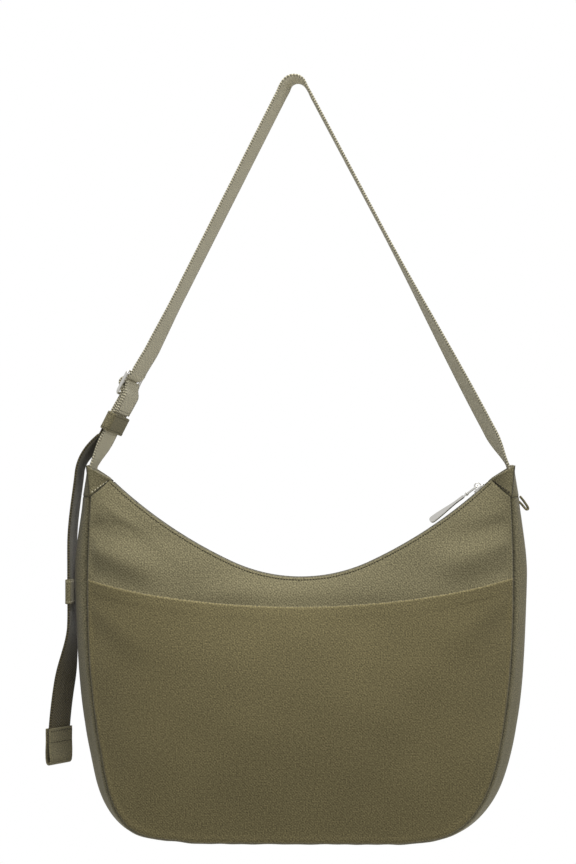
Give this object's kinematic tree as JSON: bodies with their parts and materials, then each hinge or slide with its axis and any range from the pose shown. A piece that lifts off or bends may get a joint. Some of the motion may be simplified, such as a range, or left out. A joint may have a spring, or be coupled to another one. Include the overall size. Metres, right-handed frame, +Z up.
{
  "type": "hobo bag",
  "caption": "Slouchy canvas hobo bag with a dipped zipped mouth, a full-width front pocket and one webbing strap with a three-bar adjuster and a loose tail.",
  "frame": {"origin": "inside face of the strap where it hangs over a peg, in the middle of its width", "axes": "+Z up, -Y out of the front panel with the pocket, +X towards the right-hand side with the side loop; the adjuster and the loose tail are at -X"},
  "size_m": [0.4364, 0.1135, 0.684],
  "materials": {
    "canvas": "matt olive twill",
    "webbing": "matt ribbed webbing",
    "lining": "plain woven lining",
    "polished_nickel": "polished",
    "zip_tape": "matt woven tape",
    "zip_coil": "semi-matt"
  },
  "bodies": {
    "strap": {"main_strap": "webbing", "strap_flex_left": "webbing", "strap_flex_right": "webbing", "anchor_webbing": "webbing", "adjuster": "polished_nickel", "tail_flex": "webbing"},
    "bag": {"front_panel": "canvas", "back_panel": "canvas", "gusset_panel": "canvas", "front_pocket": "canvas", "pocket_facing": "canvas", "corner_patch_left": "canvas", "corner_patch_right": "canvas", "gusset_cap_left": "canvas", "gusset_cap_right": "canvas", "lining_front": "lining", "lining_back": "lining", "lining_gusset": "lining", "inner_pocket": "lining", "zip_tape_front": "zip_tape", "zip_tape_back": "zip_tape", "zip_coil_front": "zip_coil", "zip_coil_back": "zip_coil", "zip_stop_left": "polished_nickel", "zip_stop_right": "polished_nickel", "side_loop": "canvas", "strap_end_left": "webbing", "strap_end_right": "webbing"},
    "slider": {"slider_body": "polished_nickel", "slider_bridge": "polished_nickel"},
    "pull_link": {"pull_link": "polished_nickel"},
    "pull_tab": {"pull_tab": "polished_nickel"},
    "strap_keeper": {"strap_keeper": "canvas"},
    "tail": {"tail_webbing": "webbing", "tail_end_tab": "canvas"},
    "tail_keeper": {"tail_keeper": "canvas"}
  },
  "joints": [
    {"name": "bag_swing", "type": "hinge", "parent": "strap", "child": "bag", "pos_m": [0, 0, -0.339], "axis": [1, 0, 0], "range_deg": [-20, 20], "deforming": ["strap_flex_left", "strap_flex_right"]},
    {"name": "zip_slide", "type": "hinge", "parent": "bag", "child": "slider", "pos_m": [-0.10645, 0, -0.06343], "axis": [0, 1, 0], "range_deg": [0, 10.5]},
    {"name": "pull_link_hinge", "type": "hinge", "parent": "slider", "child": "pull_link", "pos_m": [0.16298, 0, -0.36535], "axis": [0, 1, 0], "range_deg": [0, 100]},
    {"name": "pull_tab_hinge", "type": "hinge", "parent": "pull_link", "child": "pull_tab", "pos_m": [0.15336, 0, -0.37253], "axis": [0, 1, 0], "range_deg": [0, 60]},
    {"name": "strap_keeper_slide", "type": "slide", "parent": "strap", "child": "strap_keeper", "axis": [0.4523, 0, 0.8919], "range_m": [0, 0.01]},
    {"name": "tail_swing", "type": "hinge", "parent": "strap", "child": "tail", "pos_m": [-0.17186, 0, -0.321], "axis": [0, 1, 0], "range_deg": [0, 50], "deforming": ["tail_flex"]},
    {"name": "tail_keeper_slide", "type": "slide", "parent": "tail", "child": "tail_keeper", "axis": [0, 0, 1], "range_m": [-0.014, 0.02]}
  ]
}
